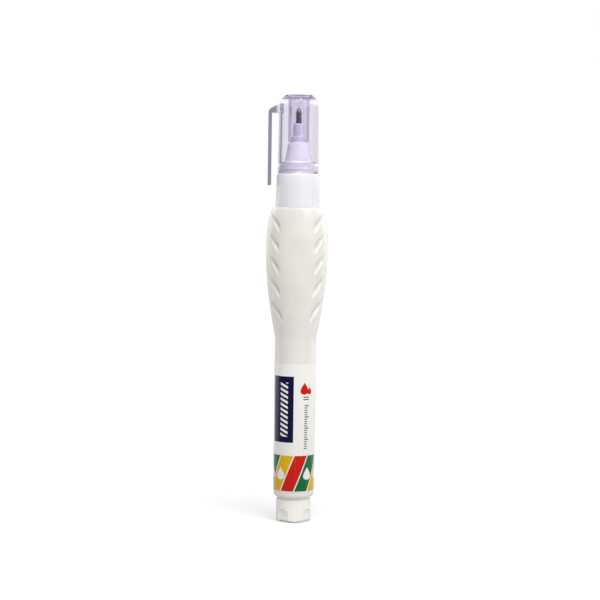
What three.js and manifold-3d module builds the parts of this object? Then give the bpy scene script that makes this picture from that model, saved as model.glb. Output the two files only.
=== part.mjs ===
// A squeezable correction pen: grip barrel, end plug, wrap label, nozzle with a sprung needle valve, mixing ball,
// and a clear push-on cap with its clip. Millimetres, +Z up. The pen stands on its end plug with the tip upwards.
// The clip is on the -X side, and -Y is the front.
import * as THREE from "three";
import { mergeVertices } from "three/addons/utils/BufferGeometryUtils.js";
import Module from "manifold-3d";

const wasm = await Module();
wasm.setup();

// Sides of the round pieces: large ones, and those under about 8 mm across.
const roundSides = 36;
const smallSides = 18;

// Straight steps that stand for a curved outline, and for a tube along a curve.
const roundingSteps = 3;
const shoulderSteps = 6;
const gripSteps = 9;
const gripInsideSteps = 6;
const grooveSteps = 10;
const ballRings = 12;
const wireSides = 5;
const stepsPerTurn = 8;

// Clearance between faces that are pressed or slide together, and a wider one between faces that never touch.
const fitGap = 0.1;
const freeGap = 0.3;

// Snap beads slope this far along the wall for each unit of their height.
const beadSlope = 1.5;

// End plug
const plugRadius = 5.65;
const plugExposed = 8.5;
const plugInsert = 7.5;
const plugWall = 1.1;
const plugFloor = 1.6;
const plugFootChamfer = 0.8;
const plugLeadIn = 0.4;
const plugBeadHeight = 0.27;
const plugBeadDrop = 3.5;
const flatCount = 4;
const flatTurn = (7 * Math.PI) / 180;
const flatDepth = 0.45;
const flatTop = 5;
const flatArch = 0.8;

// Barrel
const barrelWall = 1.15;
const barrelRimRound = 0.8;
const tubeLength = 52.3;
const gripLength = 42.6;
const gripWidth = 20.4;
const gripDepth = 17.2;
const gripWidestDrop = 15.6;
const gripWall = 1.5;
const shoulderLedge = 0.35;
const neckBore = 4.7;
const neckWall = 1.15;
const neckHeight = 8;
const neckBeadHeight = 0.25;
const neckBeadDrop = 2.8;

// Finger grooves: each runs in a slanting plane round one side of the grip, from front to back.
const groovesPerSide = 5;
const lowestGrooveUp = 8;
const highestGrooveDrop = 7;
const grooveInnerX = 5.5;
const grooveSlope = 1.4;
const grooveWidth = 2.2;
const grooveDepth = 0.7;
const grooveSideDepth = 0.15;

// Label wrap
const labelLowMargin = 1.9;
const labelTopMargin = 8.4;
const labelThickness = 0.1;

// Nozzle: collar, spigot for the cap, cone, sealing land and tip holder
const deckThickness = 2.8;
const collarWall = 1.3;
const collarStep = 0.2;
const collarEdge = 0.25;
const skirtWall = 0.9;
const skirtLength = 5.2;
const spigotInset = 0.4;
const spigotHeight = 3.9;
const spigotBeadHeight = 0.12;
const spigotBeadUp = 1.6;
const coneInset = 0.2;
const coneHeight = 6.3;
const coneWall = 1.3;
const coneLedge = 0.9;
const landStep = 0.55;
const landHeight = 1.9;
const holderWall = 0.75;
const holderHeight = 4.4;
const holderDraft = 0.1;

// Metal tip and needle valve
const ferruleWall = 0.58;
const ferruleInsert = 4.6;
const ferruleExposed = 4.9;
const ferruleConeHeight = 1.4;
const ferruleMouthWall = 0.12;
const needleRadius = 0.3;
const needleBoreGap = 0.12;
const needleProud = 0.5;
const needleGrip = 2;
const seatHoleGap = 0.4;
const seatHoleLength = 1.9;
const carrierWall = 0.45;
const carrierStemLength = 4;
const carrierLip = 0.35;
const carrierFlangeHeight = 0.8;
const carrierNoseHeight = 1.1;

// Valve spring and the seat that holds it in the nozzle
const springWire = 0.3;
const springTurns = 7;
const springSeatThickness = 1.4;
const springSeatDrop = 0.7;
const springBossHeight = 1.2;
const flowHoleCount = 4;
const flowHoleRadius = 0.6;

// Mixing ball
const ballRadius = 2.75;

// Cap and clip
const capWall = 1;
const capDraft = 0.2;
const capRoof = 1.3;
const capHeadroom = 2.5;
const capShoulderWidth = 2.1;
const capShoulderHeight = 3.3;
const capTubeWall = 0.95;
const capInnerFillet = 1.5;
const clipGap = 1.5;
const clipThickness = 1.15;
const clipWidth = 4.6;
const clipRootDrop = 5.7;
const clipRootTopDrop = 2.3;
const clipRootOuterDrop = 3.8;
const clipEndUp = 7.1;
const clipEndRound = 0.4;

// Heights that follow from the sizes above, from the foot of the plug upwards.
const barrelBottom = plugExposed;
const gripBottom = barrelBottom + tubeLength;
const shoulder = gripBottom + gripLength;
const gripWidest = shoulder - gripWidestDrop;
const groovePitch = (gripLength - lowestGrooveUp - highestGrooveDrop) / (groovesPerSide - 1);
const plugTop = plugExposed + plugInsert;
const plugBeadMiddle = plugTop - plugBeadDrop;
const labelBottom = barrelBottom + labelLowMargin;
const labelTop = gripBottom - labelTopMargin;
const neckTop = shoulder + neckHeight;
const neckBeadMiddle = neckTop - neckBeadDrop;
const deck = neckTop + fitGap;
const collarTop = deck + deckThickness;
const springSeatTop = collarTop - springSeatDrop;
const spigotTop = collarTop + spigotHeight;
const coneTop = spigotTop + coneHeight;
const landTop = coneTop + landHeight;
const holderTop = landTop + holderHeight;
const ferruleBottom = holderTop - ferruleInsert;
const ferruleTop = holderTop + ferruleExposed;
const needleTop = ferruleTop + needleProud;
const valveSeat = ferruleBottom - fitGap - seatHoleLength;
const carrierNose = valveSeat - fitGap;
const flangeTop = carrierNose - carrierNoseHeight;
const flangeBottom = flangeTop - carrierFlangeHeight;
const needleBottom = flangeBottom - needleGrip;
const capBottom = collarTop + fitGap;
const capCeiling = needleTop + capHeadroom;
const capTop = capCeiling + capRoof;
const clipBottom = shoulder + clipEndUp;

// Radii that follow from the sizes above.
const barrelBore = plugRadius + fitGap;
const barrelRadius = barrelBore + barrelWall;
const neckRadius = neckBore + neckWall;
const collarBore = neckRadius + fitGap;
const collarRadius = collarBore + collarWall;
const shoulderRadius = collarRadius + shoulderLedge;
const skirtRadius = neckBore - fitGap;
const skirtBore = skirtRadius - skirtWall;
const ferruleBore = needleRadius + needleBoreGap;
const ferruleRadius = ferruleBore + ferruleWall;
const holderBore = ferruleRadius + fitGap;
const holderRadius = holderBore + holderWall;
const landRadius = holderRadius + landStep;
const coneTopRadius = landRadius + coneLedge;
const coneBaseRadius = neckBore - coneInset;
const chamberTopRadius = coneTopRadius - coneWall;
const chamberRadius = coneBaseRadius - coneWall;
const seatHoleRadius = needleRadius + seatHoleGap;
const carrierSocket = needleRadius + fitGap;
const carrierStemRadius = carrierSocket + carrierWall;
const springCoilRadius = carrierStemRadius + fitGap + springWire / 2;
const carrierFlangeRadius = springCoilRadius + springWire / 2 + carrierLip;
const spigotRadius = neckRadius - spigotInset;
const capBore = spigotRadius + spigotBeadHeight + fitGap;
const capRadius = capBore + capWall;
const collarTopRadius = capRadius + collarStep;
const capTubeBore = landRadius + fitGap;
const capTubeRadius = capTubeBore + capTubeWall;

// A closed surface as a solid that can be joined and cut.
function solidOf(geometry) {
  const bare = geometry.clone();
  bare.deleteAttribute("normal");
  bare.deleteAttribute("uv");
  const merged = mergeVertices(bare);
  return new wasm.Manifold(
    new wasm.Mesh({
      numProp: 3,
      vertProperties: merged.attributes.position.array,
      triVerts: new Uint32Array(merged.index.array),
    }),
  );
}

// The surface of a joined or cut solid.
function geometryOf(solid) {
  const mesh = solid.getMesh();
  const geometry = new THREE.BufferGeometry();
  geometry.setAttribute("position", new THREE.BufferAttribute(mesh.vertProperties, 3));
  geometry.setIndex(new THREE.BufferAttribute(mesh.triVerts, 1));
  geometry.computeVertexNormals();
  return geometry;
}

// A round piece about +Z. The outline is [radius, height] pairs, up the outside and down the inside.
function turned(outline, sides = roundSides) {
  const points = outline.map(([radius, height]) => new THREE.Vector2(radius, height));
  const closesOnAxis = outline[0][0] === 0;
  if (!closesOnAxis) points.push(points[0].clone());
  return new THREE.LatheGeometry(points, sides).rotateX(Math.PI / 2);
}

// Three outline points of a snap ring that stands out of a wall, or of the groove that takes one.
function bead(radius, height, middle) {
  return [
    [radius, middle - beadSlope * height],
    [radius + height, middle],
    [radius, middle + beadSlope * height],
  ];
}

// Outline points of an elliptical quarter arc, from angle 0 at its widest to a right angle at its top.
function quarterArc(centreRadius, centreHeight, width, height, steps) {
  const points = [];
  for (let i = 0; i <= steps; i++) {
    const angle = ((Math.PI / 2) * i) / steps;
    points.push([
      centreRadius + width * Math.cos(angle),
      centreHeight + height * Math.sin(angle),
    ]);
  }
  return points;
}

// Half the grip's size at a height: it swells as a quarter sine, and closes to the shoulder as a quarter ellipse.
function gripHalf(height, widestHalf) {
  if (height <= gripWidest) {
    const share = Math.max(0, (height - gripBottom) / (gripWidest - gripBottom));
    return barrelRadius + (widestHalf - barrelRadius) * Math.sin((share * Math.PI) / 2);
  }
  const share = Math.min(1, (height - gripWidest) / gripWidestDrop);
  return shoulderRadius + (widestHalf - shoulderRadius) * Math.sqrt(1 - share * share);
}

// The grip is oval: as wide as gripWidth from side to side, and as deep as gripDepth from front to back.
function depthShare(height) {
  if (height <= gripBottom || height >= shoulder) return 1;
  return gripHalf(height, gripDepth / 2) / gripHalf(height, gripWidth / 2);
}

// Outline points of the grip between its lower end and the shoulder, moved inwards by inset.
function gripOutline(inset, steps) {
  const points = [];
  for (let i = 1; i < steps; i++) {
    const height = gripBottom + ((gripWidest - gripBottom) * i) / steps;
    points.push([gripHalf(height, gripWidth / 2) - inset, height]);
  }
  const closing = quarterArc(
    shoulderRadius,
    gripWidest,
    gripWidth / 2 - shoulderRadius,
    gripWidestDrop,
    steps,
  );
  closing.forEach(([radius, height], i) => {
    const angle = ((Math.PI / 2) * i) / steps;
    points.push([radius - inset * Math.cos(angle), height - inset * Math.sin(angle)]);
  });
  return points;
}

// Where a groove's slanting plane meets the grip at an angle round it: found by a few rounds of narrowing in.
function grooveHeight(angle, innerEnd) {
  let height = innerEnd;
  for (let round = 0; round < 8; round++) {
    const x = gripHalf(height, gripWidth / 2) * Math.sin(angle);
    height = innerEnd + grooveSlope * (x - grooveInnerX);
  }
  return height;
}

// A cutter for one finger groove: a round bar bent along the line where the groove's plane meets the grip.
function grooveCutter(side, innerEnd) {
  const cutterRadius = grooveWidth ** 2 / (8 * grooveDepth) + grooveDepth / 2;
  const startAngle = Math.asin(grooveInnerX / (gripWidth / 2));
  const path = [];
  for (let i = 0; i <= grooveSteps; i++) {
    const angle = startAngle + ((Math.PI - 2 * startAngle) * i) / grooveSteps;
    const height = grooveHeight(angle, innerEnd);
    const halfWidth = gripHalf(height, gripWidth / 2);
    const halfDepth = gripHalf(height, gripDepth / 2);
    const normal = new THREE.Vector2(
      Math.sin(angle) / halfWidth,
      -Math.cos(angle) / halfDepth,
    ).normalize();
    const atSide = Math.sin((Math.PI * i) / grooveSteps);
    const depth = grooveDepth + (grooveSideDepth - grooveDepth) * atSide;
    const atEnd = i === 0 || i === grooveSteps;
    const lift = atEnd ? cutterRadius : cutterRadius - depth;
    path.push(
      new THREE.Vector3(
        side * (halfWidth * Math.sin(angle) + normal.x * lift),
        -halfDepth * Math.cos(angle) + normal.y * lift,
        height,
      ),
    );
  }
  const section = new THREE.Shape().absarc(0, 0, cutterRadius, 0, 2 * Math.PI);
  return new THREE.ExtrudeGeometry(section, {
    steps: 2 * grooveSteps,
    curveSegments: 4,
    extrudePath: new THREE.CatmullRomCurve3(path),
  });
}

// Squeezable barrel: open tube, oval grip with its grooves, flat shoulder and a snap neck
function squeezeBarrel() {
  const rimCentre = barrelRadius - barrelRimRound;
  const rim = quarterArc(rimCentre, 0, barrelRimRound, barrelRimRound, roundingSteps)
    .map(([radius, height]) => [radius, barrelBottom + barrelRimRound - height])
    .reverse();
  const geometry = turned([
    ...rim,
    [barrelRadius, gripBottom],
    ...gripOutline(0, gripSteps),
    [neckRadius, shoulder],
    ...bead(neckRadius, neckBeadHeight, neckBeadMiddle),
    [neckRadius, neckTop - neckBeadHeight],
    [neckRadius - neckBeadHeight, neckTop],
    [neckBore, neckTop],
    [neckBore, shoulder],
    [neckBore, shoulder - gripWall],
    ...gripOutline(gripWall, gripInsideSteps).reverse(),
    [barrelBore, gripBottom],
    ...bead(barrelBore, plugBeadHeight, plugBeadMiddle).reverse(),
    [barrelBore, barrelBottom],
  ]);
  const position = geometry.attributes.position;
  for (let i = 0; i < position.count; i++) {
    position.setY(i, position.getY(i) * depthShare(position.getZ(i)));
  }
  let body = solidOf(geometry);
  for (const side of [-1, 1]) {
    for (let i = 0; i < groovesPerSide; i++) {
      const innerEnd = gripBottom + lowestGrooveUp + i * groovePitch;
      body = body.subtract(solidOf(grooveCutter(side, innerEnd)));
    }
  }
  return geometryOf(body);
}

// End plug: a cup pressed into the barrel, with arched flats round the part that shows
function endPlug() {
  const bore = plugRadius - plugWall;
  let body = solidOf(
    turned([
      [0, 0],
      [plugRadius - plugFootChamfer, 0],
      [plugRadius, plugFootChamfer],
      ...bead(plugRadius, plugBeadHeight, plugBeadMiddle),
      [plugRadius, plugTop - plugLeadIn],
      [plugRadius - plugLeadIn, plugTop],
      [bore, plugTop],
      [bore, plugFloor + plugLeadIn],
      [bore - plugLeadIn, plugFloor],
      [0, plugFloor],
    ]),
  );
  const halfChord = Math.sqrt(plugRadius ** 2 - (plugRadius - flatDepth) ** 2);
  const archRadius = (halfChord ** 2 + flatArch ** 2) / (2 * flatArch);
  const archAngle = Math.asin(halfChord / archRadius);
  const outline = new THREE.Shape()
    .moveTo(-halfChord, -plugFloor)
    .lineTo(halfChord, -plugFloor)
    .lineTo(halfChord, flatTop - flatArch)
    .absarc(0, flatTop - archRadius, archRadius, Math.PI / 2 - archAngle, Math.PI / 2 + archAngle)
    .lineTo(-halfChord, -plugFloor);
  for (let i = 0; i < flatCount; i++) {
    const cutter = new THREE.ExtrudeGeometry(outline, {
      depth: plugRadius,
      bevelEnabled: false,
      curveSegments: 5,
    })
      .translate(0, 0, plugRadius - flatDepth)
      .rotateX(Math.PI / 2)
      .rotateZ((2 * Math.PI * (i + 0.5)) / flatCount + flatTurn);
    body = body.subtract(solidOf(cutter));
  }
  return geometryOf(body);
}

// Label: a printed film wrapped round the straight tube
function labelWrap() {
  const inside = barrelRadius + fitGap;
  return turned([
    [inside + labelThickness, labelBottom],
    [inside + labelThickness, labelTop],
    [inside, labelTop],
    [inside, labelBottom],
  ]);
}

// Nozzle and collar in one moulding, snapped over the barrel's neck, with the valve chamber inside
function nozzleCollar() {
  const skirtBottom = deck - skirtLength;
  return turned([
    [collarRadius - collarEdge, shoulder],
    [collarRadius, shoulder + collarEdge],
    [collarTopRadius, collarTop - collarEdge],
    [collarTopRadius - collarEdge, collarTop],
    [spigotRadius, collarTop],
    ...bead(spigotRadius, spigotBeadHeight, collarTop + spigotBeadUp),
    [spigotRadius, spigotTop - collarEdge],
    [spigotRadius - collarEdge, spigotTop],
    [coneBaseRadius, spigotTop],
    [coneTopRadius, coneTop],
    [landRadius, coneTop],
    [landRadius, landTop - collarEdge],
    [holderRadius, landTop],
    [holderRadius - holderDraft, holderTop - collarEdge],
    [holderRadius - holderDraft - collarEdge, holderTop],
    [holderBore, holderTop],
    [holderBore, ferruleBottom - fitGap],
    [seatHoleRadius, ferruleBottom - fitGap],
    [seatHoleRadius, valveSeat],
    [chamberTopRadius, valveSeat - carrierNoseHeight],
    [chamberRadius, spigotTop],
    [chamberRadius, springSeatTop],
    [skirtBore, springSeatTop],
    [skirtBore, skirtBottom],
    [skirtRadius, skirtBottom],
    [skirtRadius, deck],
    [collarBore, deck],
    ...bead(collarBore, neckBeadHeight, neckBeadMiddle).reverse(),
    [collarBore, shoulder],
  ]);
}

// Metal tip: a bored sleeve pressed into the holder, with a tapered mouth
function tipFerrule() {
  return turned(
    [
      [ferruleRadius, ferruleBottom],
      [ferruleRadius, ferruleTop - ferruleConeHeight],
      [ferruleBore + ferruleMouthWall, ferruleTop],
      [ferruleBore, ferruleTop],
      [ferruleBore, ferruleBottom],
    ],
    smallSides,
  );
}

// Needle: a steel pin that closes the tip and stands a little proud of its mouth
function needlePin() {
  return turned(
    [
      [0, needleBottom],
      [needleRadius, needleBottom],
      [needleRadius, needleTop - needleRadius / 2],
      [needleRadius / 2, needleTop],
      [0, needleTop],
    ],
    smallSides,
  );
}

// Needle carrier: the plastic plunger that holds the pin, seals on the valve seat and takes the spring's push
function needleCarrier() {
  return turned(
    [
      [0, flangeBottom - carrierStemLength],
      [carrierStemRadius, flangeBottom - carrierStemLength],
      [carrierStemRadius, flangeBottom],
      [carrierFlangeRadius, flangeBottom],
      [carrierFlangeRadius, flangeTop],
      [seatHoleRadius - fitGap, carrierNose],
      [carrierSocket, carrierNose],
      [carrierSocket, needleBottom - fitGap],
      [0, needleBottom - fitGap],
    ],
    smallSides,
  );
}

// The spring's centre line: an even helix whose ends turn down straight onto the faces that they push.
class SpringLine extends THREE.Curve {
  constructor(bottom, top) {
    super();
    this.bottom = bottom;
    this.top = top;
  }

  getPoint(share, target = new THREE.Vector3()) {
    const straight = springWire / (this.top - this.bottom);
    const turnShare = Math.min(1, Math.max(0, (share - straight) / (1 - 2 * straight)));
    const angle = 2 * Math.PI * springTurns * turnShare;
    return target.set(
      springCoilRadius * Math.cos(angle),
      springCoilRadius * Math.sin(angle),
      this.bottom + (this.top - this.bottom) * share,
    );
  }
}

// The least open gap between any two stretches of the spring that lie half a turn or more apart.
function springLeastGap(line) {
  const perTurn = 24;
  const points = line.getPoints(perTurn * springTurns);
  let least = Infinity;
  points.forEach((a, i) => {
    for (const b of points.slice(i + perTurn / 2)) {
      least = Math.min(least, a.distanceTo(b) - springWire);
    }
  });
  return least;
}

// Valve spring: one wire from the spring seat up to the carrier's flange
function valveSpring(bottom, top) {
  const line = new SpringLine(bottom, top);
  console.log("valve spring, least gap between turns:", springLeastGap(line).toFixed(2), "mm");
  const wire = new THREE.Shape();
  for (let i = 0; i < wireSides; i++) {
    const angle = (2 * Math.PI * i) / wireSides;
    const corner = [(springWire / 2) * Math.cos(angle), (springWire / 2) * Math.sin(angle)];
    if (i === 0) wire.moveTo(...corner);
    else wire.lineTo(...corner);
  }
  wire.closePath();
  return new THREE.ExtrudeGeometry(wire, { steps: stepsPerTurn * springTurns, extrudePath: line });
}

// Spring seat: a disc pressed up against the chamber's ledge, with a boss for the spring and holes for the fluid
function springSeat() {
  const radius = skirtBore - fitGap;
  const bottom = springSeatTop - springSeatThickness;
  let body = solidOf(
    turned([
      [0, bottom],
      [radius, bottom],
      [radius, springSeatTop],
      [carrierStemRadius, springSeatTop],
      [carrierStemRadius, springSeatTop + springBossHeight],
      [0, springSeatTop + springBossHeight],
    ]),
  );
  const holeCentre = (springCoilRadius + springWire + chamberRadius) / 2;
  for (let i = 0; i < flowHoleCount; i++) {
    const hole = new THREE.CylinderGeometry(
      flowHoleRadius,
      flowHoleRadius,
      3 * springSeatThickness,
      smallSides,
    )
      .rotateX(Math.PI / 2)
      .translate(holeCentre, 0, bottom)
      .rotateZ((2 * Math.PI * i) / flowHoleCount);
    body = body.subtract(solidOf(hole));
  }
  return geometryOf(body);
}

// Mixing ball: a loose steel ball that stirs the fluid when the pen is shaken
function mixingBall() {
  return new THREE.SphereGeometry(ballRadius, smallSides, ballRings)
    .rotateX(Math.PI / 2)
    .translate(0, 0, plugFloor + fitGap + ballRadius);
}

// Clip: one flat arm beside the cap, hung from a sloping root on the cap's shoulder
function clipArm() {
  const inner = -(collarRadius + clipGap);
  const outer = inner - clipThickness;
  const edgeReach = Math.sqrt(capRadius ** 2 - (clipWidth / 2) ** 2);
  const buried = -(capBore + edgeReach) / 2;
  const rootTop = capTop - clipRootTopDrop;
  const rootOuter = capTop - clipRootOuterDrop;
  const outline = new THREE.Shape()
    .moveTo(buried, capTop - clipRootDrop)
    .lineTo(buried, rootTop)
    .lineTo(inner, rootOuter)
    .quadraticCurveTo(outer, rootOuter - clipEndRound, outer, rootOuter - 2 * clipThickness)
    .lineTo(outer, clipBottom + clipEndRound)
    .quadraticCurveTo(outer, clipBottom, outer + clipEndRound, clipBottom)
    .lineTo(inner - clipEndRound, clipBottom)
    .quadraticCurveTo(inner, clipBottom, inner, clipBottom + clipEndRound)
    .lineTo(inner, capTop - clipRootDrop)
    .closePath();
  return new THREE.ExtrudeGeometry(outline, {
    depth: clipWidth,
    bevelEnabled: false,
    curveSegments: 4,
  })
    .rotateX(Math.PI / 2)
    .translate(0, clipWidth / 2, 0);
}

// Cap: a clear shell with an inner tube that seals on the nozzle's land, and the clip moulded on
function cap() {
  const topRadius = capRadius - capDraft;
  const boreTop = topRadius - capWall;
  const shell = turned([
    [0, capCeiling],
    [capTubeBore, capCeiling],
    [capTubeBore, coneTop + freeGap],
    [capTubeRadius, coneTop + freeGap],
    [capTubeRadius, capCeiling],
    [boreTop - capInnerFillet, capCeiling],
    [boreTop, capCeiling - capInnerFillet],
    [capBore, capBottom],
    [capRadius - collarEdge, capBottom],
    [capRadius, capBottom + collarEdge],
    ...quarterArc(
      topRadius - capShoulderWidth,
      capTop - capShoulderHeight,
      capShoulderWidth,
      capShoulderHeight,
      shoulderSteps,
    ),
    [0, capTop],
  ]);
  return geometryOf(solidOf(shell).add(solidOf(clipArm())));
}

const finishes = {
  barrelWhite: new THREE.MeshStandardMaterial({ color: "#ece8e0", roughness: 0.5 }),
  plugWhite: new THREE.MeshStandardMaterial({ color: "#e9e7e2", roughness: 0.45 }),
  nozzleWhite: new THREE.MeshStandardMaterial({ color: "#e9e8ef", roughness: 0.35 }),
  labelPrint: new THREE.MeshStandardMaterial({ color: "#f1efe9", roughness: 0.35 }),
  clearLavender: new THREE.MeshStandardMaterial({
    color: "#d9d0ee",
    roughness: 0.08,
    transparent: true,
    opacity: 0.4,
  }),
  steel: new THREE.MeshStandardMaterial({ color: "#b9bac0", roughness: 0.25, metalness: 1 }),
  springSteel: new THREE.MeshStandardMaterial({ color: "#9b9ca2", roughness: 0.35, metalness: 1 }),
  valvePlastic: new THREE.MeshStandardMaterial({ color: "#dcdad2", roughness: 0.5 }),
};

const pieces = [
  ["squeeze_barrel", squeezeBarrel(), finishes.barrelWhite],
  ["end_plug", endPlug(), finishes.plugWhite],
  ["label_wrap", labelWrap(), finishes.labelPrint],
  ["nozzle_collar", nozzleCollar(), finishes.nozzleWhite],
  ["tip_ferrule", tipFerrule(), finishes.steel],
  ["needle_pin", needlePin(), finishes.steel],
  ["needle_carrier", needleCarrier(), finishes.valvePlastic],
  ["valve_spring", valveSpring(springSeatTop + fitGap, flangeBottom - fitGap), finishes.springSteel],
  ["spring_seat", springSeat(), finishes.valvePlastic],
  ["mixing_ball", mixingBall(), finishes.steel],
  ["cap", cap(), finishes.clearLavender],
];

const pen = new THREE.Group();
for (const [name, geometry, finish] of pieces) {
  const mesh = new THREE.Mesh(geometry, finish);
  mesh.name = name;
  pen.add(mesh);
}

export default pen;
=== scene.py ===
import math

import bmesh
import bpy
from mathutils import Matrix, Vector


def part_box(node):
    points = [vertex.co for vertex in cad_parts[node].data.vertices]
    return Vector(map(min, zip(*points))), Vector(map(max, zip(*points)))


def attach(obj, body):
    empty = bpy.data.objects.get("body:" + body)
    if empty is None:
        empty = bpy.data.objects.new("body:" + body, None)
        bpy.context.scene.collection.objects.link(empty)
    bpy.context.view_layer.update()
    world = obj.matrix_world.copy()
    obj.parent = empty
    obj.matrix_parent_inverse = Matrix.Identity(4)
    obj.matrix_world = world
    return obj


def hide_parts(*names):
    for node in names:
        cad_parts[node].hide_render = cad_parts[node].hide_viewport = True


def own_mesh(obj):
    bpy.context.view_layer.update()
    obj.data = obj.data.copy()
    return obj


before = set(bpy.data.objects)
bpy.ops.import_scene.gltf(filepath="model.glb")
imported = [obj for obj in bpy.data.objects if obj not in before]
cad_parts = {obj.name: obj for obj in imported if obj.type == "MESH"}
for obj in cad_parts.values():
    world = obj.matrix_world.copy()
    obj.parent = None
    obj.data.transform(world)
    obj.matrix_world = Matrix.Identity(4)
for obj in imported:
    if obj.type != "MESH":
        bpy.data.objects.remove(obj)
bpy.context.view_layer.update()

# Camera: it stands in front of the pen, level with the shoulder, and looks a little down. The pen leans
# by less than a degree in the photograph, so the camera is rolled by as much.
def new_object(name, data):
    """A new object in the scene."""
    made = bpy.data.objects.new(name, data)
    bpy.context.scene.collection.objects.link(made)
    return made


mm = 0.001
picture_width = 600
focal_pixels = 1830
sensor_width = 36
eye = Vector((1.25 * mm, -600 * mm, 109 * mm))
look_down = math.radians(3.43)
roll = math.radians(0.84)

camera = new_object("camera", bpy.data.cameras.new("camera"))
camera.data.sensor_width = sensor_width
camera.data.lens = sensor_width * focal_pixels / picture_width
camera.data.clip_start = 10 * mm
camera.matrix_world = (
    Matrix.Translation(eye)
    @ Matrix.Rotation(math.pi / 2 - look_down, 4, "X")
    @ Matrix.Rotation(roll, 4, "Z")
)
bpy.context.scene.camera = camera
bpy.context.scene.view_settings.view_transform = "Standard"


# World: a plain soft studio. Seen directly it is white. As light on the object it is dimmer, and comes more
# from the right, the front and above. Mirrored, it is brighter than white behind the pen, a little under
# white straight behind it, and dark in front. Mirrored or seen through the cap, its ceiling is grey.
def add(tree, kind, **settings):
    """A new node with its settings."""
    node = tree.nodes.new(kind)
    for name, value in settings.items():
        setattr(node, name, value)
    return node


def feed(tree, socket, value):
    """Links a socket's value into an input, or writes a plain one there."""
    if isinstance(value, bpy.types.NodeSocket):
        tree.links.new(value, socket)
    else:
        socket.default_value = value


def calc(tree, operation, *values, clamp=False):
    """The result of a math node."""
    node = add(tree, "ShaderNodeMath", operation=operation, use_clamp=clamp)
    for socket, value in zip(node.inputs, values):
        feed(tree, socket, value)
    return node.outputs[0]


def weigh(tree, share, first, second):
    """A value between two others: the first at share 0, the second at share 1."""
    node = add(tree, "ShaderNodeMix", data_type="FLOAT")
    for socket, value in zip((node.inputs[0], node.inputs[2], node.inputs[3]), (share, first, second)):
        feed(tree, socket, value)
    return node.outputs[0]


def ramp(tree, value, start, end):
    """0 before start, 1 past end, and smooth between them."""
    node = add(tree, "ShaderNodeMapRange", interpolation_type="SMOOTHSTEP")
    feed(tree, node.inputs["Value"], value)
    node.inputs["From Min"].default_value = start
    node.inputs["From Max"].default_value = end
    return node.outputs[0]


def times(tree, product, *factors):
    """The product of some values."""
    for factor in factors:
        product = calc(tree, "MULTIPLY", product, factor)
    return product


ambient = 0.63
ambient_from_right = 0.11
ambient_from_front = 0.1
ambient_from_above = 0.1
mirrored_in_front = 0.12
mirrored_behind = 1.8
behind_range = (0.1, 0.45)
mirrored_straight_behind = 0.9
straight_behind_range = (0.75, 0.95)
mirrored_in_cap = 0.7
ceiling = 0.5
ceiling_range = (0.3, 0.75)
light_under_cap = 0.77
tip_crossings = 7.5
caught_reflections = 2.5

world = bpy.data.worlds.new("studio")
bpy.context.scene.world = world
world.use_nodes = True
sky = world.node_tree
background = sky.nodes["Background"]
ray = add(sky, "ShaderNodeLightPath").outputs
towards = add(sky, "ShaderNodeSeparateXYZ")
feed(sky, towards.inputs[0], add(sky, "ShaderNodeTexCoord").outputs["Generated"])
light = ambient
for side, share in (("X", ambient_from_right), ("Z", ambient_from_above), ("Y", -ambient_from_front)):
    light = calc(sky, "MULTIPLY_ADD", towards.outputs[side], share, light)
behind = ramp(sky, towards.outputs["Y"], *behind_range)
straight_behind = ramp(sky, towards.outputs["Y"], *straight_behind_range)
overhead = weigh(sky, ramp(sky, towards.outputs["Z"], *ceiling_range), 1, ceiling)
mirrored = weigh(sky, behind, mirrored_in_front, mirrored_behind)
mirrored = weigh(sky, straight_behind, mirrored, mirrored_straight_behind)
mirrored = times(sky, mirrored, overhead)

# Rays that are mirrored on their way through the cap see a greyer room. Only those that the metal tip
# mirrors, which cross the cap's faces eight times, see the bright one. Light for the nozzle is plain.
by_the_tip = calc(sky, "GREATER_THAN", ray["Transmission Depth"], tip_crossings)
in_cap = weigh(sky, by_the_tip, times(sky, overhead, mirrored_in_cap), mirrored)
reflected = calc(sky, "GREATER_THAN", ray["Glossy Depth"], 0.5)
caught = calc(sky, "GREATER_THAN", ray["Glossy Depth"], caught_reflections)
under_cap = calc(sky, "GREATER_THAN", ray["Diffuse Depth"], 0.5)
through_cap = weigh(sky, reflected, overhead, in_cap)
through_cap = weigh(sky, under_cap, through_cap, light_under_cap)
mirrored = weigh(sky, caught, mirrored, in_cap)
strength = weigh(sky, ray["Is Glossy Ray"], light, mirrored)
strength = weigh(sky, ray["Is Transmission Ray"], strength, through_cap)
strength = weigh(sky, ray["Is Camera Ray"], strength, 1)
feed(sky, background.inputs["Color"], (1, 1, 1, 1))
feed(sky, background.inputs["Strength"], strength)

# Lamps: a large softbox high on the right in front of the pen, and another above it. The one above isn't
# mirrored, so that it leaves no hard spot on the cap's crown. A lamp's share is the part of full white that
# it alone gives to a surface that faces it.
pen_middle = Vector((0, 0, 70 * mm))
softboxes = {
    "softbox_right": ((520, -560, 480), 420, 0.2, True),
    "softbox_above": ((60, -330, 900), 380, 0.5, False),
}
for name, (place, size, share, is_mirrored) in softboxes.items():
    place = Vector(place) * mm
    to_pen = pen_middle - place
    lamp = new_object(name, bpy.data.lights.new(name, "AREA"))
    lamp.data.shape = "SQUARE"
    lamp.data.size = size * mm
    lamp.data.energy = math.pi**2 * share * to_pen.length_squared
    lamp.visible_glossy = is_mirrored
    facing = to_pen.to_track_quat("-Z", "Y").to_matrix().to_4x4()
    lamp.matrix_world = Matrix.Translation(place) @ facing


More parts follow.
